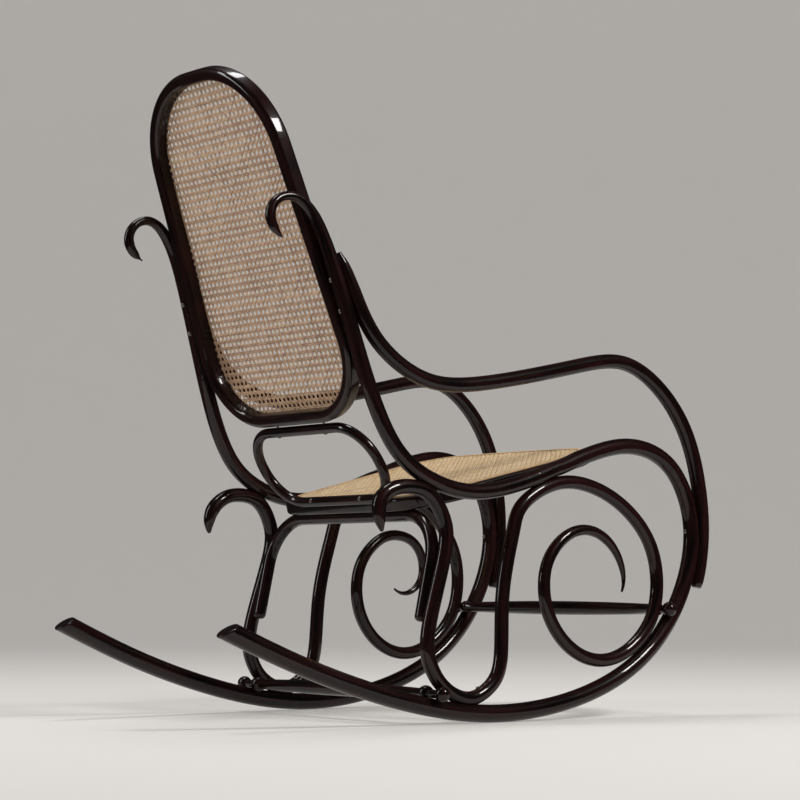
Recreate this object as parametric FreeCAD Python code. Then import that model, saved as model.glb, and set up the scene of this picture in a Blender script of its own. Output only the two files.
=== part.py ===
import FreeCAD
import Part
import math
import os

# Bentwood rocking chair with a hand-caned seat and back.
# Millimetres. Z is up, the sitter faces -Y, the sitter's left is +X.
# The origin is on the floor under the middle of the chair's length and width.

Vec = FreeCAD.Vector

# Everything is drawn from a working origin, then moved so that the chair stands over the origin.
MIDDLE_Y = 7.5
FLOOR_Z = -1.05

# ---- side frames -------------------------------------------------------------
# Each side frame is three bent rods lying in one gently warped surface.
# Its distance from the middle of the chair narrows to the rear and to the top.
SIDE_HALF_WIDTH = 246.0
SIDE_TOE_IN = 0.040
SIDE_LEAN_IN = 0.036
SIDE_WARP = 0.000036

# Rail and runner rod: tail, runner, front bend, seat rail, back upright, ear.
# Stations are (y, z) on the rod's centre line.
RAIL_STATIONS = [
    (510, 162), (375, 104), (242, 58), (63, 18.5), (-112, 18.65), (-267, 60), (-372, 132),
    (-435, 234), (-447, 321), (-423, 388), (-380, 428), (-298, 443),
    (-159, 403), (-1, 360), (97, 376), (162, 421), (221, 543), (284, 729),
]
RIGHT_EAR = [(319, 788), (345, 799), (369, 792), (381, 777), (382, 759), (363, 734)]
LEFT_EAR = [(323, 793), (351, 807), (375, 800), (388, 784), (388, 765), (362, 741)]
# The tail is sawn off on a slant that faces up and to the rear.
TAIL_CUT = (474.0, 147.0)
TAIL_CUT_FACING = 60.0
TAIL_SLOPE = 23.0
TAIL_EDGE_ROUND = 2.0
TAIL_WASTE = 60.0
LEFT_TAIL_EXTRA = 12.0
# Rod radius at fractions of the rod's length.
RAIL_RADII = [
    (0.00, 15.4), (0.08, 14.8), (0.22, 14.0), (0.40, 13.4), (0.52, 13.3),
    (0.62, 12.8), (0.80, 12.3), (0.90, 11.6), (0.935, 9.6), (0.955, 7.6), (0.967, 7.0),
    (0.984, 8.4), (0.992, 7.2), (1.00, 1.5),
]

# Arm rod: head on the upright, dip, arm rest, front bend, foot on the rail.
ARM_STATIONS = [
    (262, 719), (236, 660), (194, 588), (118, 537), (19, 529), (-198, 570),
    (-305, 582), (-380, 545), (-445, 459), (-472, 334), (-468, 262),
    (-457, 210),
]
ARM_RADII = [
    (0.00, 4.0), (0.012, 7.5), (0.03, 10.6), (0.06, 11.9), (0.62, 11.9),
    (0.75, 12.8), (0.90, 12.6), (0.97, 11.8), (0.988, 10.6), (1.00, 7.0),
]

# Scroll rod: hook, rear leg, lower bend, front leg, ring, inner spiral.
RIGHT_HOOK = [(193, 294), (198, 320)]
LEFT_HOOK = [(204, 299), (204, 325)]
SCROLL_STATIONS = [
    (194, 344), (170, 360), (136, 364), (101, 353),
    (76, 318), (73, 271), (111, 136), (105, 85), (79, 53), (34, 37),
    (-3, 51), (-28, 83), (-38, 194), (-63, 299), (-80, 338), (-146, 375),
    (-217, 377), (-294, 345), (-354, 281), (-367, 210), (-349, 153),
    (-298, 107), (-237, 92), (-177, 112), (-135, 160), (-124, 214),
    (-138, 260), (-180, 296),
]
RIGHT_SPIRAL_END = [(-227, 302), (-269, 279), (-292, 238), (-289, 203)]
LEFT_SPIRAL_END = [
    (-222, 302), (-257, 290), (-278, 262), (-279, 231), (-264, 209),
    (-240, 199), (-213, 207),
]
SCROLL_RADII = [
    (0.00, 2.0), (0.005, 6.5), (0.011, 9.6), (0.020, 11.6), (0.06, 12.0),
    (0.11, 11.7), (0.30, 11.4), (0.50, 11.1), (0.80, 10.8), (0.90, 9.4),
    (0.95, 7.8), (0.978, 5.2), (1.00, 1.8),
]

# ---- back ----------------------------------------------------------------------
BACK_HALF_THICKNESS = 10.4
BACK_HALF_DEPTH = 14.0
BACK_CORNER = 7.5
BACK_BOTTOM = (0.0, 192.5, 480.6)
BACK_LEAN = 20.5
BACK_HEIGHT = 564.0
BACK_HALF_BOTTOM = 194.0
BACK_HALF_TOP = 155.0
BACK_BOTTOM_BEND = 110.0
BACK_TOP_BEND = 145.0
BACK_CANE_FORWARD = 8.5
BACK_CANE_LAP = 4.5
BACK_BEAD_RADIUS = 1.8
BACK_BEAD_LAP = 3.0
BACK_BEAD_PRESSED = 0.4

LOOP_RADIUS = 8.2
LOOP_BOTTOM = (0.0, 105.0, 349.5)
LOOP_LEAN = 34.0
LOOP_HEIGHT = 134.0
LOOP_HALF_WIDTH = 154.0
LOOP_BEND = 64.0

# ---- seat ----------------------------------------------------------------------
SEAT_TILT = 13.7
SEAT_REAR_EDGE = (0.0, 97.0, 328.0)
SEAT_THICKNESS = 21.0
SEAT_DEPTH = 400.0
SEAT_HALF_REAR = 206.0
SEAT_HALF_FRONT = 234.0
SEAT_FRONT_BOW = 10.0
SEAT_BOW_BEND = 700.0
SEAT_REAR_BEND = 95.0
SEAT_FRONT_BEND = 92.0
SEAT_RIM = 32.0
SEAT_EDGE_ROUND = 5.0
CANE_THICKNESS = 1.4
CANE_INSET = 13.0
BEAD_OVERHANG = 2.0
BEAD_WIDTH = 5.0
BEAD_HEIGHT = 2.6

# ---- brace under the seat ----------------------------------------------------------
YOKE_RADIUS = 10.6
YOKE_HALF_WIDTH = 215.0
YOKE_TOP = (0.0, 71.0, 324.0)
YOKE_LEG_LENGTH = 172.0
YOKE_LEAN = -12.5
YOKE_BEND = 76.0
YOKE_END_ROUND = 8.0

# ---- turned stretchers -------------------------------------------------------------
FRONT_STRETCHER = {"y": -379.0, "z": 174.5, "ball_x": 245.0, "knob_x": 273.0,
                   "ball": 11.0, "knob": 12.2, "middle": 12.0, "end": 8.0}
REAR_STRETCHER = {"y": 103.0, "z": 46.0, "ball_x": 222.0, "knob_x": 262.0,
                  "ball": 13.0, "knob": 12.0, "middle": 11.6, "end": 7.8}
NECK_RADIUS = 6.6
TENON_RADIUS = 4.5
TENON_DEPTH = 8.0
KNOB_FLAT = 1.5

# ---- screws ------------------------------------------------------------------------
SCREW_HEAD_RADIUS = 3.6
SCREW_HEAD_HEIGHT = 1.8
SCREW_HEAD_SUNK = 0.8
SCREW_SLOT_WIDTH = 0.8
SCREW_SLOT_DEPTH = 1.0
SCREW_SHANK_RADIUS = 1.6
SCREW_LENGTH = 22.0
ARM_FOOT_SCREW_LENGTH = 34.0
# (y, z) on the rod's centre line, then the way the head faces as (inboard, rear, up).
ARM_HEAD_SCREWS = [(266, 679, (0.20, 0.93, -0.32)), (250, 632, (0.20, 0.93, -0.32))]
ARM_FOOT_SCREWS = [(-446, 304, (0.0, 1.0, 0.0))]
SCROLL_SCREWS = [(14, 43, (0.35, -0.15, 1.0))]
# Rod radius where each of those groups is driven.
ARM_HEAD_ROD = 12.1
ARM_FOOT_ROD = 13.2
SCROLL_ROD = 11.3
LOOP_LOWER_SCREW_X = 65.0
LOOP_UPPER_SCREW_X = 62.0


# ---- helpers -------------------------------------------------------------------
def side_x(y, z):
    return SIDE_HALF_WIDTH - SIDE_TOE_IN * y - SIDE_LEAN_IN * z - SIDE_WARP * y * z


def side_points(stations, side):
    return [Vec(side * side_x(y, z), y, z) for y, z in stations]


def smooth_curve(points):
    """One smooth curve through the stations, timed by the root of each step."""
    times = [0.0]
    for a, b in zip(points, points[1:]):
        times.append(times[-1] + math.sqrt(a.distanceToPoint(b)))
    curve = Part.BSplineCurve()
    curve.interpolate(Points=points, Parameters=times)
    return curve, times


def radius_at(table, fraction):
    for (f0, r0), (f1, r1) in zip(table, table[1:]):
        if fraction <= f1:
            s = (fraction - f0) / (f1 - f0)
            return r0 + (r1 - r0) * s
    return table[-1][1]


def ring_wire(centre, normal, reference, radius):
    """A circle across the rod, with its seam turned toward the reference."""
    side = reference - normal * reference.dot(normal)
    side.normalize()
    other = normal.cross(side)
    circle = Part.Circle(Vec(0, 0, 0), Vec(0, 0, 1), radius).toShape()
    circle.Placement = FreeCAD.Placement(FreeCAD.Matrix(
        side.x, other.x, normal.x, centre.x,
        side.y, other.y, normal.y, centre.y,
        side.z, other.z, normal.z, centre.z,
        0, 0, 0, 1))
    return Part.Wire([circle])


def bent_rod(points, radii, per_span=4, spans_per_length=6):
    """A round rod of changing radius along a smooth curve, closed at both ends.

    The rod is skinned over circles in lengths of a few spans, and the lengths are joined.
    """
    curve, times = smooth_curve(points)
    marks = []
    for t0, t1 in zip(times, times[1:]):
        marks += [t0 + (t1 - t0) * k / per_span for k in range(per_span)]
    marks.append(times[-1])
    total = curve.length()
    rings = []
    for t in marks:
        fraction = curve.length(times[0], t) / total if t > times[0] else 0.0
        tangent = curve.tangent(t)[0]
        rings.append(ring_wire(curve.value(t), tangent, Vec(1, 0, 0), radius_at(radii, fraction)))
    step = per_span * spans_per_length
    faces = [Part.Face(rings[0]), Part.Face(rings[-1])]
    for first in range(0, len(rings) - 1, step):
        faces += Part.makeLoft(rings[first:first + step + 1], False, False, False).Faces
    shell = Part.Compound(faces)
    shell.sewShape()
    rod = Part.Solid(shell.Shells[0])
    if rod.Volume < 0:
        rod.reverse()
    return rod


def rail_rod(side):
    """Rail and runner rod with its tail sawn off on the slant and the edge eased."""
    ear = LEFT_EAR if side > 0 else RIGHT_EAR
    rod = bent_rod(side_points(RAIL_STATIONS + ear, side), RAIL_RADII)
    extra = LEFT_TAIL_EXTRA if side > 0 else 0.0
    slope = math.radians(TAIL_SLOPE)
    y = TAIL_CUT[0] + extra * math.cos(slope)
    z = TAIL_CUT[1] + extra * math.sin(slope)
    facing = math.radians(TAIL_CUT_FACING)
    normal = Vec(0, math.cos(facing), math.sin(facing))
    middle = Vec(side * side_x(y, z), y, z)
    waste = Part.makeCylinder(TAIL_WASTE, TAIL_WASTE, middle, normal)
    rod = rod.cut(waste).Solids[0]
    face = min(rod.Faces, key=lambda f: f.CenterOfMass.distanceToPoint(middle))
    return rod.makeFillet(TAIL_EDGE_ROUND, face.Edges)


def rounded_outline(corners, bends):
    """Closed flat outline through rounded corners, as straight and arc edges."""
    count = len(corners)
    starts = []
    ends = []
    mids = []
    for i in range(count):
        here = corners[i]
        back = (corners[i - 1] - here).normalize()
        ahead = (corners[(i + 1) % count] - here).normalize()
        half = back.getAngle(ahead) / 2.0
        reach = bends[i] / math.tan(half)
        middle = (back + ahead).normalize()
        centre = here + middle * (bends[i] / math.sin(half))
        starts.append(here + back * reach)
        ends.append(here + ahead * reach)
        mids.append(centre - middle * bends[i])
    edges = []
    for i in range(count):
        edges.append(Part.Arc(starts[i], mids[i], ends[i]).toShape())
        following = starts[(i + 1) % count]
        if ends[i].distanceToPoint(following) > 0.01:
            edges.append(Part.makeLine(ends[i], following))
    return Part.Wire(Part.__sortEdges__(edges))


def swept_round(path, radius):
    """A round bar along a wire of tangent lines and arcs."""
    edge = path.OrderedEdges[0]
    start = edge.valueAt(edge.FirstParameter)
    tangent = edge.tangentAt(edge.FirstParameter)
    profile = Part.Wire([Part.makeCircle(radius, start, tangent)])
    return path.makePipeShell([profile], True, False)


def leaned(shape, angle, foot):
    """Stand a shape drawn flat in the XZ plane on its foot and lean it back."""
    result = shape.copy()
    result.rotate(Vec(0, 0, 0), Vec(1, 0, 0), -angle)
    result.translate(Vec(*foot))
    return result


def save(name, shape):
    solids = shape.Solids
    if not solids or not all(s.isValid() for s in solids):
        raise ValueError("bad solid in " + name)
    clean = solids[0] if len(solids) == 1 else Part.makeCompound(solids)
    clean.translate(Vec(0, -MIDDLE_Y, -FLOOR_Z))
    clean.exportStep("parts/" + name + ".step")
    box = clean.BoundBox
    print("%-24s %d solid  %8.1f cm3  x %.0f..%.0f y %.0f..%.0f z %.1f..%.1f" % (
        name, len(solids), clean.Volume / 1000.0, box.XMin, box.XMax,
        box.YMin, box.YMax, box.ZMin, box.ZMax))


# ---- pieces --------------------------------------------------------------------
def back_outline(extra):
    """Centre line of the back frame, grown outward by extra, in the XZ plane."""
    low = BACK_HALF_BOTTOM + extra
    high = BACK_HALF_TOP + extra
    corners = [Vec(-low, 0, -extra), Vec(low, 0, -extra),
               Vec(high, 0, BACK_HEIGHT + extra), Vec(-high, 0, BACK_HEIGHT + extra)]
    lower = BACK_BOTTOM_BEND + extra
    upper = BACK_TOP_BEND + extra
    return rounded_outline(corners, [lower, lower, upper, upper])


def back_frame():
    """Closed bent frame of rounded oblong section, deeper than it is wide."""
    path = back_outline(0.0)
    edge = path.OrderedEdges[0]
    start = edge.valueAt(edge.FirstParameter)
    along = edge.tangentAt(edge.FirstParameter)
    across = along.cross(Vec(0, 1, 0)).normalize()
    corners = [start + across * (a * BACK_HALF_THICKNESS) + Vec(0, b * BACK_HALF_DEPTH, 0)
               for a, b in ((-1, -1), (1, -1), (1, 1), (-1, 1))]
    section = rounded_outline(corners, [BACK_CORNER] * 4)
    return leaned(path.makePipeShell([section], True, False), BACK_LEAN, BACK_BOTTOM)


def flat_panel(outline, thickness, direction):
    face = Part.Face(outline)
    normal = face.normalAt(0, 0)
    if normal.dot(direction) < 0:
        normal = normal * -1
    return face.extrude(normal * thickness)


def back_cane():
    """Woven panel let into the front of the frame, as one thin sheet."""
    sheet = flat_panel(back_outline(-BACK_HALF_THICKNESS + BACK_CANE_LAP), CANE_THICKNESS, Vec(0, -1, 0))
    sheet.translate(Vec(0, -BACK_CANE_FORWARD, 0))
    return leaned(sheet, BACK_LEAN, BACK_BOTTOM)


def back_bead():
    """Round reed that covers the edge of the back's cane, on its front."""
    path = back_outline(-BACK_HALF_THICKNESS + BACK_BEAD_LAP)
    standing = CANE_THICKNESS + BACK_BEAD_RADIUS - BACK_BEAD_PRESSED
    path.translate(Vec(0, -BACK_CANE_FORWARD - standing, 0))
    return leaned(swept_round(path, BACK_BEAD_RADIUS), BACK_LEAN, BACK_BOTTOM)


def lower_loop():
    corners = [Vec(-LOOP_HALF_WIDTH, 0, 0), Vec(LOOP_HALF_WIDTH, 0, 0),
               Vec(LOOP_HALF_WIDTH, 0, LOOP_HEIGHT), Vec(-LOOP_HALF_WIDTH, 0, LOOP_HEIGHT)]
    path = rounded_outline(corners, [LOOP_BEND] * 4)
    return leaned(swept_round(path, LOOP_RADIUS), LOOP_LEAN, LOOP_BOTTOM)


def seat_outline(inset):
    """Seat outline seen from above, rear edge on y = 0, front toward -y."""
    rear = SEAT_HALF_REAR - inset
    front = SEAT_HALF_FRONT - inset
    nose = -SEAT_DEPTH + inset
    corners = [Vec(rear, -inset, 0), Vec(-rear, -inset, 0), Vec(-front, nose, 0),
               Vec(0, nose - SEAT_FRONT_BOW, 0), Vec(front, nose, 0)]
    bends = [SEAT_REAR_BEND - inset, SEAT_REAR_BEND - inset, SEAT_FRONT_BEND - inset,
             SEAT_BOW_BEND, SEAT_FRONT_BEND - inset]
    return rounded_outline(corners, bends)


def on_seat(shape):
    """Tilt a shape drawn level so that its front rises, and set it on the seat's rear edge."""
    result = shape.copy()
    result.rotate(Vec(0, 0, 0), Vec(1, 0, 0), -SEAT_TILT)
    result.translate(Vec(*SEAT_REAR_EDGE))
    return result


def seat_frame():
    outer = Part.Face(seat_outline(0.0)).extrude(Vec(0, 0, SEAT_THICKNESS))
    inner = Part.Face(seat_outline(SEAT_RIM)).extrude(Vec(0, 0, SEAT_THICKNESS))
    ring = outer.cut(inner)
    edges = [e for e in ring.Edges if abs(e.BoundBox.ZLength) < 0.01]
    return on_seat(ring.makeFillet(SEAT_EDGE_ROUND, edges))


def seat_cane():
    sheet = Part.Face(seat_outline(CANE_INSET)).extrude(Vec(0, 0, CANE_THICKNESS))
    sheet.translate(Vec(0, 0, SEAT_THICKNESS))
    return on_seat(sheet)


def seat_bead():
    """Flat reed that binds the edge of the seat's cane."""
    edge = CANE_INSET - BEAD_OVERHANG
    outer = Part.Face(seat_outline(edge)).extrude(Vec(0, 0, BEAD_HEIGHT))
    inner = Part.Face(seat_outline(edge + BEAD_WIDTH)).extrude(Vec(0, 0, BEAD_HEIGHT))
    band = outer.cut(inner)
    trough = Part.Face(seat_outline(CANE_INSET)).extrude(Vec(0, 0, CANE_THICKNESS))
    band = band.cut(trough)
    band.translate(Vec(0, 0, SEAT_THICKNESS))
    return on_seat(band)


def yoke():
    """Bent brace under the seat: a bar with a leg down inside each rear leg."""
    half = YOKE_HALF_WIDTH
    bend = YOKE_BEND
    down = Vec(0, 0, -YOKE_LEG_LENGTH)
    diagonal = bend * (1.0 - math.sqrt(0.5))
    right_leg = Part.makeLine(Vec(-half, 0, 0) + down, Vec(-half, 0, -bend))
    right_bend = Part.Arc(Vec(-half, 0, -bend), Vec(-half + diagonal, 0, -diagonal),
                          Vec(-half + bend, 0, 0)).toShape()
    bar = Part.makeLine(Vec(-half + bend, 0, 0), Vec(half - bend, 0, 0))
    left_bend = Part.Arc(Vec(half - bend, 0, 0), Vec(half - diagonal, 0, -diagonal),
                         Vec(half, 0, -bend)).toShape()
    left_leg = Part.makeLine(Vec(half, 0, -bend), Vec(half, 0, 0) + down)
    path = Part.Wire([right_leg, right_bend, bar, left_bend, left_leg])
    profile = Part.Wire([Part.makeCircle(YOKE_RADIUS, Vec(-half, 0, 0) + down, Vec(0, 0, 1))])
    rod = path.makePipeShell([profile], True, False)
    ends = [e for e in rod.Edges if e.BoundBox.ZMax < -YOKE_LEG_LENGTH + 0.01]
    rod = rod.makeFillet(YOKE_END_ROUND, ends)
    return leaned(rod, YOKE_LEAN, YOKE_TOP)


def swelling(half, end, middle, steps=10):
    """Radius of the stretcher's long part: thick at the middle, thin at both ends."""
    points = []
    for k in range(steps + 1):
        s = -1.0 + 2.0 * k / steps
        points.append(Vec(s * half, 0, end + (middle - end) * (1.0 - s * s)))
    return points


def stretcher(size):
    """Turned rail with a ball, a neck and a tenon at each end."""
    half = size["ball_x"]
    ball = size["ball"]
    curve = Part.BSplineCurve()
    curve.interpolate(swelling(half, size["end"], size["middle"]))
    edges = [curve.toShape(),
             Part.makeLine(Vec(half, 0, size["end"]), Vec(half, 0, 0)),
             Part.makeLine(Vec(half, 0, 0), Vec(-half, 0, 0)),
             Part.makeLine(Vec(-half, 0, 0), Vec(-half, 0, size["end"]))]
    rail = Part.Face(Part.Wire(edges)).revolve(Vec(0, 0, 0), Vec(1, 0, 0), 360)
    shoulder = size["knob_x"] - size["knob"] + KNOB_FLAT
    for end in (-1, 1):
        rail = rail.fuse(Part.makeSphere(ball, Vec(end * half, 0, 0), Vec(1, 0, 0)))
        neck = Part.makeCylinder(NECK_RADIUS, shoulder - half, Vec(end * half, 0, 0), Vec(end, 0, 0))
        tenon = Part.makeCylinder(TENON_RADIUS, TENON_DEPTH, Vec(end * shoulder, 0, 0), Vec(end, 0, 0))
        rail = rail.fuse(neck).fuse(tenon)
    rail.translate(Vec(0, size["y"], size["z"]))
    return rail.removeSplitter()


def knob(size, side):
    """Ball screwed on the end of a stretcher, outside the side frame."""
    shoulder = size["knob_x"] - size["knob"] + KNOB_FLAT
    ball = Part.makeSphere(size["knob"], Vec(side * size["knob_x"], 0, 0), Vec(side, 0, 0))
    face = Part.makeCylinder(size["knob"], size["knob"], Vec(side * shoulder, 0, 0), Vec(-side, 0, 0))
    bore = Part.makeCylinder(TENON_RADIUS, TENON_DEPTH, Vec(side * shoulder, 0, 0), Vec(side, 0, 0))
    ball = ball.cut(face).cut(bore)
    ball.translate(Vec(0, size["y"], size["z"]))
    return ball


def screw(point, outward, length=SCREW_LENGTH):
    """Domed slotted wood screw whose head sits at the point and faces outward."""
    outward = Vec(*outward).normalize()
    dome_radius = (SCREW_HEAD_RADIUS ** 2 + SCREW_HEAD_HEIGHT ** 2) / (2.0 * SCREW_HEAD_HEIGHT)
    dome = Part.makeSphere(dome_radius, point + outward * (SCREW_HEAD_HEIGHT - dome_radius))
    seat = point - outward * SCREW_HEAD_SUNK
    keep = Part.makeCylinder(SCREW_HEAD_RADIUS, SCREW_HEAD_SUNK + SCREW_HEAD_HEIGHT, seat, outward)
    slot = Part.makeBox(4.0 * SCREW_HEAD_RADIUS, SCREW_SLOT_WIDTH, SCREW_HEAD_HEIGHT,
                        Vec(-2.0 * SCREW_HEAD_RADIUS, -SCREW_SLOT_WIDTH / 2.0, 0))
    slot.Placement = FreeCAD.Placement(point + outward * (SCREW_HEAD_HEIGHT - SCREW_SLOT_DEPTH),
                                       FreeCAD.Rotation(Vec(0, 0, 1), outward))
    shank = Part.makeCylinder(SCREW_SHANK_RADIUS, length, point, outward * -1)
    return dome.common(keep).cut(slot).fuse(shank)


def screws_on_side_rods(places, rod_radius, length=SCREW_LENGTH):
    """A pair of screws, right and left, for each (y, z, outward) place on a rod's centre line."""
    result = []
    for y, z, (inboard, rear, up) in places:
        for side in (-1, 1):
            outward = Vec(-side * inboard, rear, up).normalize()
            middle = Vec(side * side_x(y, z), y, z)
            result.append(screw(middle + outward * rod_radius, outward, length))
    return result


def screws_on_loop(half_gap, height, outward):
    """A pair of screws on a straight bar of the lower loop."""
    lean = math.radians(LOOP_LEAN)
    y = LOOP_BOTTOM[1] + height * math.sin(lean)
    z = LOOP_BOTTOM[2] + height * math.cos(lean)
    outward = Vec(*outward).normalize()
    return [screw(Vec(x, y, z) + outward * LOOP_RADIUS, outward) for x in (-half_gap, half_gap)]


os.makedirs("parts", exist_ok=True)
shapes = {}
for side_name, side in (("right", -1), ("left", 1)):
    hook = LEFT_HOOK if side > 0 else RIGHT_HOOK
    spiral_end = LEFT_SPIRAL_END if side > 0 else RIGHT_SPIRAL_END
    shapes["rail_runner_" + side_name] = rail_rod(side)
    shapes["arm_" + side_name] = bent_rod(side_points(ARM_STATIONS, side), ARM_RADII)
    shapes["scroll_" + side_name] = bent_rod(
        side_points(hook + SCROLL_STATIONS + spiral_end, side), SCROLL_RADII)
    shapes["front_knob_" + side_name] = knob(FRONT_STRETCHER, side)
    shapes["rear_knob_" + side_name] = knob(REAR_STRETCHER, side)
shapes["back_frame"] = back_frame()
shapes["back_cane"] = back_cane()
shapes["back_cane_bead"] = back_bead()
shapes["lower_back_loop"] = lower_loop()
shapes["seat_frame"] = seat_frame()
shapes["seat_cane"] = seat_cane()
shapes["seat_cane_bead"] = seat_bead()
shapes["seat_yoke"] = yoke()
shapes["front_stretcher"] = stretcher(FRONT_STRETCHER)
shapes["rear_stretcher"] = stretcher(REAR_STRETCHER)

screws = {
    "arm_head_screws": screws_on_side_rods(ARM_HEAD_SCREWS, ARM_HEAD_ROD),
    "arm_foot_screws": screws_on_side_rods(ARM_FOOT_SCREWS, ARM_FOOT_ROD, ARM_FOOT_SCREW_LENGTH),
    "scroll_screws": screws_on_side_rods(SCROLL_SCREWS, SCROLL_ROD),
    "loop_lower_screws": screws_on_loop(LOOP_LOWER_SCREW_X, 0.0, (0, 1, 0.2)),
    "loop_upper_screws": screws_on_loop(LOOP_UPPER_SCREW_X, LOOP_HEIGHT, (0, -0.25, -1)),
}
# Every piece a screw passes through is drilled for it.
for group in screws.values():
    for fastener in group:
        for held in list(shapes):
            if shapes[held].BoundBox.intersect(fastener.BoundBox):
                if shapes[held].common(fastener).Volume > 0.1:
                    drilled = shapes[held].cut(fastener)
                    shapes[held] = max(drilled.Solids, key=lambda solid: solid.Volume)

for name in shapes:
    save(name, shapes[name])
for name in screws:
    save(name, Part.makeCompound(screws[name]))
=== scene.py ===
"""A bentwood rocking chair with a caned seat and back: its finishes, woven cane, camera and pale studio.

Everything is in metres, in the chair's own frame: +Z up, the sitter facing -Y, the floor at z = 0.
"""

import heapq
import math
import random

import bpy
import numpy as np
from mathutils import Matrix, Vector


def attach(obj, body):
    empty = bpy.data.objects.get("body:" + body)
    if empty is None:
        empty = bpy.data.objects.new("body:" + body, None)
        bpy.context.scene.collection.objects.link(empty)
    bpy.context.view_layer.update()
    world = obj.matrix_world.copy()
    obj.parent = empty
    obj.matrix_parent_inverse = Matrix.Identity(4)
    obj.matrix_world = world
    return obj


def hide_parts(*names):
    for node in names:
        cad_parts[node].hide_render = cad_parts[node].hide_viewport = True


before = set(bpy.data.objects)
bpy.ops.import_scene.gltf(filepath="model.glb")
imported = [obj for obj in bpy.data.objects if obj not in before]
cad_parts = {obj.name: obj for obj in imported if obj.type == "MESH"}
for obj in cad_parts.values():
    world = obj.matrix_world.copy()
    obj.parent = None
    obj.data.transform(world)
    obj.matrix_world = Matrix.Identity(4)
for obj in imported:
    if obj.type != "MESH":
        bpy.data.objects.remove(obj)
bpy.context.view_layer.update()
MM = 0.001

# ---------------------------------------------------------------- objects


def new_object(name, points, faces, material):
    """A smooth-shaded mesh object in one material."""
    mesh = bpy.data.meshes.new(name)
    mesh.from_pydata([tuple(p) for p in points], [], [tuple(int(i) for i in f) for f in faces])
    mesh.materials.append(material)
    mesh.polygons.foreach_set("use_smooth", [True] * len(mesh.polygons))
    thing = bpy.data.objects.new(name, mesh)
    bpy.context.scene.collection.objects.link(thing)
    return thing


def make_piece(name, points, faces, material, replaced=()):
    """A visible piece of the chair, which may stand in for CAD nodes."""
    piece = new_object(name, points, faces, material)
    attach(piece, "root")
    if replaced:
        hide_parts(*replaced)
    return piece


def make_stage(name, points, faces, material):
    """A part of the studio round the chair."""
    thing = new_object(name, points, faces, material)
    return thing


# ---------------------------------------------------------------- shader nodes

# Most of a noise's values lie between these two.
NOISE_LOW = 0.3
NOISE_HIGH = 0.7


def new_material(name):
    material = bpy.data.materials.new(name)
    material.use_nodes = True
    tree = material.node_tree
    tree.nodes.clear()
    output = tree.nodes.new("ShaderNodeOutputMaterial")
    shader = tree.nodes.new("ShaderNodeBsdfPrincipled")
    tree.links.new(shader.outputs["BSDF"], output.inputs["Surface"])
    return material, tree, shader


def coordinates(tree, attribute, scales):
    """A stored point attribute, or the object's own coordinates if it is None, scaled along each axis."""
    if attribute:
        source = tree.nodes.new("ShaderNodeAttribute")
        source.attribute_name = attribute
        vector = source.outputs["Vector"]
    else:
        vector = tree.nodes.new("ShaderNodeTexCoord").outputs["Object"]
    stretch = tree.nodes.new("ShaderNodeVectorMath")
    stretch.operation = "MULTIPLY"
    stretch.inputs[1].default_value = scales
    tree.links.new(vector, stretch.inputs[0])
    return stretch.outputs["Vector"]


def noise(tree, vector, detail, roughness=0.55):
    node = tree.nodes.new("ShaderNodeTexNoise")
    node.inputs["Scale"].default_value = 1.0
    node.inputs["Detail"].default_value = detail
    node.inputs["Roughness"].default_value = roughness
    tree.links.new(vector, node.inputs["Vector"])
    return node.outputs["Fac"]


def ramp(tree, value, *stops):
    """Maps a 0 to 1 value to colours, given as (position, (r, g, b)) stops."""
    node = tree.nodes.new("ShaderNodeValToRGB")
    for element, (position, colour) in zip(node.color_ramp.elements, stops):
        element.position = position
        element.color = (*colour, 1.0)
    tree.links.new(value, node.inputs["Fac"])
    return node.outputs["Color"]


def spread(tree, value, low, high):
    """Maps a noise's usual range to low..high."""
    node = tree.nodes.new("ShaderNodeMapRange")
    node.inputs["From Min"].default_value = NOISE_LOW
    node.inputs["From Max"].default_value = NOISE_HIGH
    node.inputs["To Min"].default_value = low
    node.inputs["To Max"].default_value = high
    tree.links.new(value, node.inputs["Value"])
    return node.outputs["Result"]


def multiplied(tree, colour, shade, amount):
    """A colour multiplied by a shade, in part: the amount is 0 to 1."""
    node = tree.nodes.new("ShaderNodeMix")
    node.data_type = "RGBA"
    node.blend_type = "MULTIPLY"
    node.inputs["Factor"].default_value = amount
    tree.links.new(colour, node.inputs["A"])
    tree.links.new(shade, node.inputs["B"])
    return node.outputs["Result"]


def bump(tree, shader, height, strength, distance):
    node = tree.nodes.new("ShaderNodeBump")
    node.inputs["Strength"].default_value = strength
    node.inputs["Distance"].default_value = distance
    tree.links.new(height, node.inputs["Height"])
    tree.links.new(node.outputs["Normal"], shader.inputs["Normal"])


# ---------------------------------------------------------------- materials

# Along a rod the grain's scales count per metre, and round it per unit of the rod's radius.
STAIN_SCALES = (9.0, 1.6, 1.6)
STREAK_SCALES = (22.0, 9.0, 9.0)
REED_SCALES = (30.0, 7.0, 7.0)
# On the other materials the scales count per metre along x, y and z.
MOTTLE_SCALES = (60.0, 60.0, 60.0)
FIBRE_SCALES = (900.0, 900.0, 900.0)
WEAR_SCALES = (500.0, 500.0, 500.0)

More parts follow.
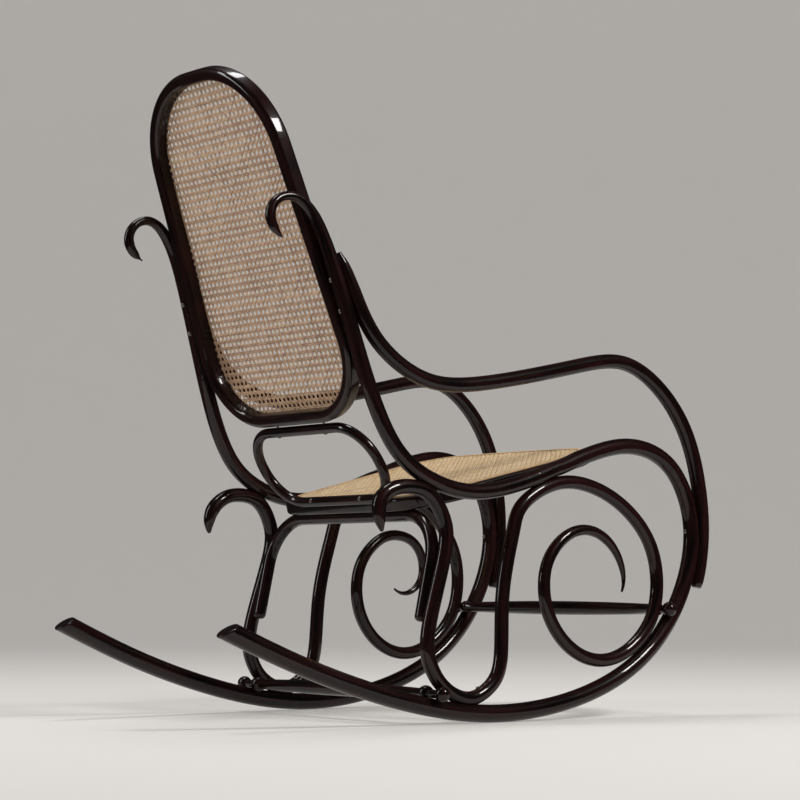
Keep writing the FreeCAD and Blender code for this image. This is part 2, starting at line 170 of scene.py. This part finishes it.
STAIN_BLACK = (0.0028, 0.0013, 0.0013)
STAIN_RED = (0.019, 0.0036, 0.0036)
STREAK_DARK = (0.45, 0.42, 0.42)
STREAK_PALE = (1.35, 1.20, 1.15)
REED_DARK = (0.014, 0.007, 0.006)
REED_PALE = (0.060, 0.026, 0.018)
STEEL_DARK = (0.10, 0.085, 0.075)
STEEL_WORN = (0.30, 0.27, 0.24)
MOTTLE_BROWN = (0.74, 0.68, 0.60)
WHITE = (1.0, 1.0, 1.0)
# One cane in two copies: besides each strand's random tone, the back's colours are darker as painted shade
# and the seat's lighter as painted light, as if the seat caught the sun.
BACK_CANE_SHADED_COLOURS = (0.38, 0.215, 0.125), (0.80, 0.56, 0.36)
SEAT_CANE_LIT_COLOURS = (0.80, 0.56, 0.31), (0.98, 0.79, 0.52)
STUDIO_COLOUR = (0.60, 0.585, 0.565)
STUDIO_GLOW = 0.37


def lacquered_beech():
    """Near-black stained beech under gloss lacquer, its grain running along each bent rod."""
    material, tree, shader = new_material("lacquered_beech")
    patches = noise(tree, coordinates(tree, "grain", STAIN_SCALES), 2.0)
    streaks = noise(tree, coordinates(tree, "grain", STREAK_SCALES), 4.0, 0.6)
    stain = ramp(tree, patches, (0.34, STAIN_BLACK), (0.68, STAIN_RED))
    figure = ramp(tree, streaks, (0.30, STREAK_DARK), (0.72, STREAK_PALE))
    tree.links.new(multiplied(tree, stain, figure, 0.75), shader.inputs["Base Color"])
    tree.links.new(spread(tree, patches, 0.26, 0.42), shader.inputs["Roughness"])
    shader.inputs["Specular IOR Level"].default_value = 0.08
    shader.inputs["Coat Weight"].default_value = 0.60
    shader.inputs["Coat Roughness"].default_value = 0.055
    bump(tree, shader, streaks, 0.10, 0.4 * MM)
    return material


def cane_skin(name, dark, pale, roughness):
    """Split cane: each strand has its own tone between the two colours given, with brown mottling and a
    faint fibre; the seat's colours carry painted light and the back's painted shade.
    """
    material, tree, shader = new_material(name)
    tone = tree.nodes.new("ShaderNodeAttribute")
    tone.attribute_name = "tone"
    base = ramp(tree, tone.outputs["Fac"], (0.0, dark), (1.0, pale))
    mottle = noise(tree, coordinates(tree, None, MOTTLE_SCALES), 3.0)
    shade = ramp(tree, mottle, (0.30, MOTTLE_BROWN), (0.62, WHITE))
    fibre = noise(tree, coordinates(tree, None, FIBRE_SCALES), 2.0)
    tree.links.new(multiplied(tree, base, shade, 0.7), shader.inputs["Base Color"])
    gloss = spread(tree, mottle, roughness + 0.08, roughness - 0.08)
    tree.links.new(gloss, shader.inputs["Roughness"])
    shader.inputs["Sheen Weight"].default_value = 0.12
    bump(tree, shader, fibre, 0.15, 0.2 * MM)
    return material


def stained_reed():
    """The dark split reed pressed over the edge of the back's cane."""
    material, tree, shader = new_material("stained_reed")
    fibres = noise(tree, coordinates(tree, "grain", REED_SCALES), 4.0, 0.65)
    colour = ramp(tree, fibres, (0.30, REED_DARK), (0.72, REED_PALE))
    tree.links.new(colour, shader.inputs["Base Color"])
    tree.links.new(spread(tree, fibres, 0.32, 0.50), shader.inputs["Roughness"])
    bump(tree, shader, fibres, 0.20, 0.4 * MM)
    return material


def darkened_steel():
    """The screws' old steel, a little worn."""
    material, tree, shader = new_material("darkened_steel")
    wear = noise(tree, coordinates(tree, None, WEAR_SCALES), 3.0)
    colour = ramp(tree, wear, (0.30, STEEL_DARK), (0.70, STEEL_WORN))
    tree.links.new(colour, shader.inputs["Base Color"])
    tree.links.new(spread(tree, wear, 0.28, 0.48), shader.inputs["Roughness"])
    shader.inputs["Metallic"].default_value = 1.0
    bump(tree, shader, wear, 0.10, 0.2 * MM)
    return material


def studio_paint():
    """Plain paint that gives off a little light of its own, like a lit studio wall."""
    material, _, shader = new_material("studio_paint")
    shader.inputs["Base Color"].default_value = (*STUDIO_COLOUR, 1.0)
    shader.inputs["Emission Color"].default_value = (*STUDIO_COLOUR, 1.0)
    shader.inputs["Emission Strength"].default_value = STUDIO_GLOW
    shader.inputs["Roughness"].default_value = 0.85
    shader.inputs["Specular IOR Level"].default_value = 0.2
    return material


# ---------------------------------------------------------------- bentwood: CAD shapes with grain along them

WELD_DISTANCE = 0.002 * MM
CREASE_ANGLE = 0.7
GRAIN_SLICE = 8 * MM
FEWEST_SLICES = 8
SMALLEST_AREA = 1e-15
SMALLEST_LENGTH = 1e-12


def welded(node):
    """A CAD node's corners and triangles, with the corners that meet made one."""
    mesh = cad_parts[node].data
    corners = np.empty(len(mesh.vertices) * 3)
    mesh.vertices.foreach_get("co", corners)
    corners = corners.reshape(-1, 3)
    mesh.calc_loop_triangles()
    triangles = np.empty(len(mesh.loop_triangles) * 3, int)
    mesh.loop_triangles.foreach_get("vertices", triangles)
    keys = np.round(corners / WELD_DISTANCE).astype(np.int64)
    _, first, inverse = np.unique(keys, axis=0, return_index=True, return_inverse=True)
    triangles = inverse.reshape(-1)[triangles].reshape(-1, 3)
    whole = (
        (triangles[:, 0] != triangles[:, 1])
        & (triangles[:, 1] != triangles[:, 2])
        & (triangles[:, 2] != triangles[:, 0])
    )
    return corners[first], triangles[whole]


def corner_normals(points, triangles):
    """The normal at every corner, averaged over its triangles by their area."""
    a, b, c = (points[triangles[:, k]] for k in range(3))
    facing = np.cross(b - a, c - a)
    normals = np.zeros_like(points)
    for k in range(3):
        np.add.at(normals, triangles[:, k], facing)
    return normals / np.maximum(np.linalg.norm(normals, axis=1), SMALLEST_AREA)[:, None]


def neighbour_steps(core, triangles):
    """For every corner, the corners next to it and how far off each is on the rod's centre line."""
    pairs = np.concatenate([triangles[:, [0, 1]], triangles[:, [1, 2]], triangles[:, [2, 0]]])
    pairs = np.unique(np.sort(pairs, axis=1), axis=0)
    steps = np.linalg.norm(core[pairs[:, 0]] - core[pairs[:, 1]], axis=1)
    neighbours = [[] for _ in core]
    for (a, b), step in zip(pairs.tolist(), steps.tolist()):
        neighbours[a].append((b, step))
        neighbours[b].append((a, step))
    return neighbours


def distances_from(start, neighbours):
    """The shortest way from a start corner to every other one that can be reached, and 0 for the rest."""
    reach = [math.inf] * len(neighbours)
    reach[start] = 0.0
    queue = [(0.0, start)]
    while queue:
        so_far, here = heapq.heappop(queue)
        if so_far > reach[here]:
            continue
        for there, step in neighbours[here]:
            if so_far + step < reach[there]:
                reach[there] = so_far + step
                heapq.heappush(queue, (so_far + step, there))
    reach = np.array(reach)
    return np.where(np.isfinite(reach), reach, 0.0)


def grain_directions(points, triangles, radius):
    """For every corner: how far along the rod it is, and which side of the rod it faces."""
    normals = corner_normals(points, triangles)
    core = points - radius * normals
    neighbours = neighbour_steps(core, triangles)
    end = int(np.argmax(distances_from(0, neighbours)))
    along = distances_from(end, neighbours)
    slices = max(FEWEST_SLICES, int(along.max() / GRAIN_SLICE))
    which = np.minimum((along / along.max() * slices).astype(int), slices - 1)
    count = np.bincount(which, minlength=slices)
    middle = np.stack([np.bincount(which, core[:, k], slices) for k in range(3)], 1)
    used = count > 0
    middle = middle[used] / count[used][:, None]
    place = (np.arange(slices)[used] + 0.5) * along.max() / slices
    flat = np.linalg.svd(middle - middle.mean(0))[2][2]
    ahead = np.gradient(middle, axis=0)
    ahead /= np.maximum(np.linalg.norm(ahead, axis=1), SMALLEST_LENGTH)[:, None]
    across = np.cross(flat, ahead)
    across = np.stack([np.interp(along, place, across[:, k]) for k in range(3)], 1)
    return np.stack([along, normals @ flat, (normals * across).sum(1)], 1)


def bentwood_piece(node, name, radius, material):
    """A CAD node's own shape, with its grain stored on it. The radius finds the rod's centre line."""
    points, triangles = welded(node)
    piece = make_piece(name, points, triangles, material, (node,))
    piece.data.set_sharp_from_angle(angle=CREASE_ANGLE)
    grain = piece.data.attributes.new("grain", "FLOAT_VECTOR", "POINT")
    grain.data.foreach_set("vector", grain_directions(points, triangles, radius).ravel())


# ---------------------------------------------------------------- six-way woven cane

# Paired strands run up and level, and single ones run both ways on the diagonal.
CANE_PITCH = 11.3 * MM
HALF_PAIR = 1.35 * MM
PAIR_OFFSETS = (-HALF_PAIR, HALF_PAIR)
STRAND_HALF_WIDTH = 0.98 * MM
DIAGONAL_HALF_WIDTH = 1.05 * MM
STRAND_HALF_THICKNESS = 0.32 * MM
WEAVE_RISE = 0.45 * MM
DIAGONAL_RISE = 0.95 * MM
SHORTEST_STRAND = 4 * MM
STRAND_END = 1 * MM
LINE_REACH = 10.0
CORNERS = 4
HALF_SQUARE = math.sqrt(0.5)
chance = random.Random(7)


def convex_outline(flat_points):
    """The convex outline of points in a plane, anticlockwise."""
    ordered = sorted(set(map(tuple, np.round(flat_points, 6))))

    def half(sequence):
        chain = []
        for p in sequence:
            while len(chain) > 1:
                (ax, ay), (bx, by) = chain[-2], chain[-1]
                if (bx - ax) * (p[1] - ay) - (by - ay) * (p[0] - ax) > 0:
                    break
                chain.pop()
            chain.append(p)
        return chain[:-1]

    return half(ordered) + half(ordered[::-1])


def inside_span(outline, point, direction):
    """The stretch of a line inside a convex outline, as two distances along it, or None if too short."""
    low, high = -LINE_REACH, LINE_REACH
    for (ax, ay), (bx, by) in zip(outline, outline[1:] + outline[:1]):
        nx, ny = ay - by, bx - ax
        distance = (point[0] - ax) * nx + (point[1] - ay) * ny
        slope = direction[0] * nx + direction[1] * ny
        if abs(slope) < SMALLEST_LENGTH:
            if distance < 0:
                return None
            continue
        cut = -distance / slope
        if slope > 0:
            low = max(low, cut)
        else:
            high = min(high, cut)
    return (low, high) if high - low > SHORTEST_STRAND else None


class Panel:
    """A flat caned panel: its plane and outline, taken from the CAD panel."""

    def __init__(self, node, facing):
        points, _ = welded(node)
        self.centre = points.mean(0)
        self.normal = np.linalg.svd(points - self.centre)[2][2]
        if self.normal @ np.array(facing) < 0:
            self.normal = -self.normal
        self.right = np.array([1.0, 0.0, 0.0])
        self.right -= (self.right @ self.normal) * self.normal
        self.right /= np.linalg.norm(self.right)
        self.up = np.cross(self.normal, self.right)
        self.centre = self.centre - (self.centre @ self.right) * self.right
        offsets = points - self.centre
        self.outline = convex_outline(np.stack([offsets @ self.right, offsets @ self.up], 1))

    def place(self, x, y, height):
        return self.centre + x * self.right + y * self.up + height * self.normal


class Strands:
    """Collects flat strands, four-cornered in section, into one mesh."""

    def __init__(self, panel, half_width):
        self.panel = panel
        self.half_width = half_width
        self.points = []
        self.faces = []
        self.tones = []

    def add(self, start, direction, stations, tone):
        """Adds one strand. Its stations are (distance along, height) pairs in order."""
        panel = self.panel
        side = -direction[1] * panel.right + direction[0] * panel.up
        first = len(self.points)
        for distance, height in stations:
            x = start[0] + distance * direction[0]
            y = start[1] + distance * direction[1]
            middle = panel.place(x, y, height)
            self.points += [
                middle - self.half_width * side,
                middle + STRAND_HALF_THICKNESS * panel.normal,
                middle + self.half_width * side,
                middle - STRAND_HALF_THICKNESS * panel.normal,
            ]
            self.tones += [tone] * CORNERS
        for k in range(len(stations) - 1):
            for corner in range(CORNERS):
                a = first + CORNERS * k + corner
                b = first + CORNERS * k + (corner + 1) % CORNERS
                self.faces.append((a, b, b + CORNERS, a + CORNERS))
        last = len(self.points) - CORNERS
        self.faces.append((first + 3, first + 2, first + 1, first))
        self.faces.append((last, last + 1, last + 2, last + 3))

    def finish(self, name, material, slot, replaced=()):
        piece = make_piece(name, self.points, self.faces, material, replaced)
        tone = piece.data.attributes.new("tone", "FLOAT", "POINT")
        tone.data.foreach_set("value", self.tones)


def crossings(low, high, places, rises):
    """Stations from low to high, with the strand in the panel's middle plane at both ends."""
    inner = [(d, h) for d, h in zip(places, rises) if low + STRAND_END < d < high - STRAND_END]
    return [(low, 0.0)] + inner + [(high, 0.0)]


def square_strands(panel, reach, level):
    """The paired strands that run level, or else up, over and under the other direction in turn."""
    strands = Strands(panel, STRAND_HALF_WIDTH)
    direction = (1.0, 0.0) if level else (0.0, 1.0)
    for cell in range(-reach, reach + 1):
        for which, offset in enumerate(PAIR_OFFSETS):
            across = cell * CANE_PITCH + offset
            start = (0.0, across) if level else (across, 0.0)
            span = inside_span(panel.outline, start, direction)
            tone = chance.random()
            if span is None:
                continue
            places, rises = [], []
            for step in range(-reach, reach + 1):
                for other, shift in enumerate(PAIR_OFFSETS):
                    over = 1 if (which + other) % 2 else -1
                    places.append(step * CANE_PITCH + shift)
                    rises.append(over * WEAVE_RISE * (-1 if level else 1))
                places.append((step + 0.5) * CANE_PITCH)
                rises.append(0.0)
            strands.add(start, direction, crossings(*span, places, rises), tone)
    return strands


def diagonal_strands(panel, reach, slope):
    """One family of diagonal strands: over one square family and under the other."""
    strands = Strands(panel, DIAGONAL_HALF_WIDTH)
    direction = (HALF_SQUARE, slope * HALF_SQUARE)
    step = CANE_PITCH * HALF_SQUARE
    for line in range(-2 * reach, 2 * reach + 1):
        start = ((line + 0.5) * CANE_PITCH, 0.0)
        span = inside_span(panel.outline, start, direction)
        tone = chance.random()
        if span is None:
            continue
        places, rises = [], []
        for crossing in range(-4 * reach, 4 * reach + 1):
            meets_level_pair = crossing % 2 == 0
            places += [crossing * step, (crossing + 0.5) * step]
            rises += [DIAGONAL_RISE * slope * (1 if meets_level_pair else -1), 0.0]
        strands.add(start, direction, crossings(*span, places, rises), tone)
    return strands


def caned_panel(node, facing, material):
    """Weaves a panel in place of its plain CAD node, in four families of strands."""
    panel = Panel(node, facing)
    size = max(math.hypot(*corner) for corner in panel.outline)
    reach = int(size / CANE_PITCH) + 1
    square_strands(panel, reach, False).finish(node + "_uprights", material, node, (node,))
    square_strands(panel, reach, True).finish(node + "_levels", material, node)
    diagonal_strands(panel, reach, 1).finish(node + "_rising_diagonals", material, node)
    diagonal_strands(panel, reach, -1).finish(node + "_falling_diagonals", material, node)


# ---------------------------------------------------------------- camera

CAMERA_PLACE = (-2.9957, 2.3916, 0.2077)
CAMERA_HEADING = math.radians(51.035)
CAMERA_PITCH = math.radians(4.660)
CAMERA_ROLL = math.radians(0.153)
CLIP_END = 60.0
# The lens and the sensor are in millimetres.
CAMERA_LENS = 104.35
SENSOR_WIDTH = 36.0
# The level directions ahead of the camera and to its right.
FLAT_AHEAD = np.array([math.sin(CAMERA_HEADING), -math.cos(CAMERA_HEADING), 0.0])
FLAT_RIGHT = np.array([-math.cos(CAMERA_HEADING), -math.sin(CAMERA_HEADING), 0.0])
VERTICAL = np.array([0.0, 0.0, 1.0])


def place_camera():
    ahead = math.cos(CAMERA_PITCH) * FLAT_AHEAD + math.sin(CAMERA_PITCH) * VERTICAL
    level_up = -math.sin(CAMERA_PITCH) * FLAT_AHEAD + math.cos(CAMERA_PITCH) * VERTICAL
    right = math.cos(CAMERA_ROLL) * FLAT_RIGHT + math.sin(CAMERA_ROLL) * level_up
    up = -math.sin(CAMERA_ROLL) * FLAT_RIGHT + math.cos(CAMERA_ROLL) * level_up
    data = bpy.data.cameras.new("camera")
    data.lens = CAMERA_LENS
    data.sensor_width = SENSOR_WIDTH
    data.clip_end = CLIP_END
    camera = bpy.data.objects.new("camera", data)
    bpy.context.scene.collection.objects.link(camera)
    turn = Matrix((right, up, -ahead)).transposed().to_4x4()
    camera.matrix_world = Matrix.Translation(Vector(CAMERA_PLACE)) @ turn
    bpy.context.scene.camera = camera


# ---------------------------------------------------------------- studio and light

STUDIO_SIDES = 96
FLOOR_MIDDLE = 1 * MM
NEAR_FLOOR_RADIUS = 1.3
FLOOR_RADIUS = 5.0
SWEEP_RADIUS = 4.5
SWEEP_STEPS = 16
WALL_TOP = 9.0
SKY_COLOUR = (0.93, 0.95, 1.0)
SKY_STRENGTH = 0.03
LIGHT_TARGET = np.array([0.0, 0.0, 0.45])
# Each softbox: its place from the target as (ahead, right, up), width, height, power and colour.
SOFTBOXES = {
    "key": ((-1.6, 2.6, 2.6), 0.9, 0.9, 90.0, (1.0, 0.98, 0.95)),
    "side": ((-0.6, -3.0, 1.4), 0.4, 2.4, 30.0, WHITE),
    "top": ((0.4, -0.6, 3.4), 2.0, 0.6, 45.0, WHITE),
}


def turned_surface(profile):
    """The surface that a (radius, height) profile makes when it is turned about the vertical."""
    points, faces = [], []
    for radius, height in profile:
        for k in range(STUDIO_SIDES):
            angle = 2 * math.pi * k / STUDIO_SIDES
            points.append((radius * math.cos(angle), radius * math.sin(angle), height))
    for base in range(0, STUDIO_SIDES * (len(profile) - 1), STUDIO_SIDES):
        above = base + STUDIO_SIDES
        for k in range(STUDIO_SIDES):
            after = (k + 1) % STUDIO_SIDES
            faces.append((base + k, above + k, above + after, base + after))
    return points, faces


def studio():
    """A pale floor that sweeps up into a round wall, well outside every view's camera.

    Only the floor near the chair shows in the lacquer: the rest is left out of reflections.
    """
    paint = studio_paint()
    near_floor = [(FLOOR_MIDDLE, 0.0), (NEAR_FLOOR_RADIUS, 0.0)]
    make_stage("studio_floor", *turned_surface(near_floor), paint)
    profile = [(NEAR_FLOOR_RADIUS, 0.0), (FLOOR_RADIUS, 0.0)]
    for step in range(1, SWEEP_STEPS + 1):
        turn = step * math.pi / 2 / SWEEP_STEPS
        profile.append((FLOOR_RADIUS + SWEEP_RADIUS * math.sin(turn), SWEEP_RADIUS * (1 - math.cos(turn))))
    profile.append((FLOOR_RADIUS + SWEEP_RADIUS, WALL_TOP))
    wall = make_stage("studio_wall", *turned_surface(profile), paint)
    wall.visible_glossy = False


def softbox(name, offset, width, height, power, colour):
    """A rectangular light that faces the chair."""
    ahead, right, up = offset
    place = LIGHT_TARGET + ahead * FLAT_AHEAD + right * FLAT_RIGHT + up * VERTICAL
    data = bpy.data.lights.new(name, "AREA")
    data.shape = "RECTANGLE"
    data.size = width
    data.size_y = height
    data.energy = power
    data.color = colour
    light = bpy.data.objects.new(name, data)
    bpy.context.scene.collection.objects.link(light)
    light.location = place
    light.rotation_mode = "QUATERNION"
    light.rotation_quaternion = (Vector(LIGHT_TARGET) - Vector(place)).to_track_quat("-Z", "Y")


def light_studio():
    world = bpy.data.worlds.new("soft_sky")
    world.use_nodes = True
    background = world.node_tree.nodes["Background"]
    background.inputs["Color"].default_value = (*SKY_COLOUR, 1.0)
    background.inputs["Strength"].default_value = SKY_STRENGTH
    bpy.context.scene.world = world
    for name, settings in SOFTBOXES.items():
        softbox(name, *settings)


# ---------------------------------------------------------------- the chair

# Each rod's usual radius in millimetres: first those of the two side frames, then those between them.
SIDE_RADII = {
    "rail_runner": 14.0,
    "arm": 12.0,
    "scroll": 11.0,
    "front_knob": 10.0,
    "rear_knob": 10.0,
}
CROSS_RADII = {
    "back_frame": 12.0,
    "lower_back_loop": 9.0,
    "seat_frame": 12.0,
    "seat_yoke": 9.0,
    "front_stretcher": 8.0,
    "rear_stretcher": 8.0,
}
BEAD_RADIUS = 2.0
BACK_FACING = (0.0, -1.0, 0.3)
SEAT_FACING = (0.0, 0.0, 1.0)

beech = lacquered_beech()
reed = stained_reed()
steel = darkened_steel()
# The back's cane material carries painted shade and the seat's carries painted light, on top of each
# strand's random tone.
back_skin_painted_shade = cane_skin("back_cane_skin_painted_shade", *BACK_CANE_SHADED_COLOURS, 0.42)
seat_skin_painted_light = cane_skin("seat_cane_skin_painted_light", *SEAT_CANE_LIT_COLOURS, 0.40)

for stem, radius in SIDE_RADII.items():
    for side in ("right", "left"):
        node = f"{stem}_{side}"
        bentwood_piece(node, node + "_lacquered", radius * MM, beech)
for node, radius in CROSS_RADII.items():
    bentwood_piece(node, node + "_lacquered", radius * MM, beech)
bentwood_piece("back_cane_bead", "back_cane_bead_reed", BEAD_RADIUS * MM, reed)

caned_panel("back_cane", BACK_FACING, back_skin_painted_shade)
caned_panel("seat_cane", SEAT_FACING, seat_skin_painted_light)

# The screws and the seat's binding keep their CAD shapes.
for node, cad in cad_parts.items():
    if node.endswith("_screws"):
        cad.data.materials.clear()
        cad.data.materials.append(steel)
# The seat's binding takes the seat cane's colours, its painted light included.
seat_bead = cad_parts["seat_cane_bead"]
seat_bead.data.materials.clear()
seat_bead.data.materials.append(seat_skin_painted_light)

place_camera()
studio()
light_studio()
bpy.context.scene.view_settings.view_transform = "Standard"
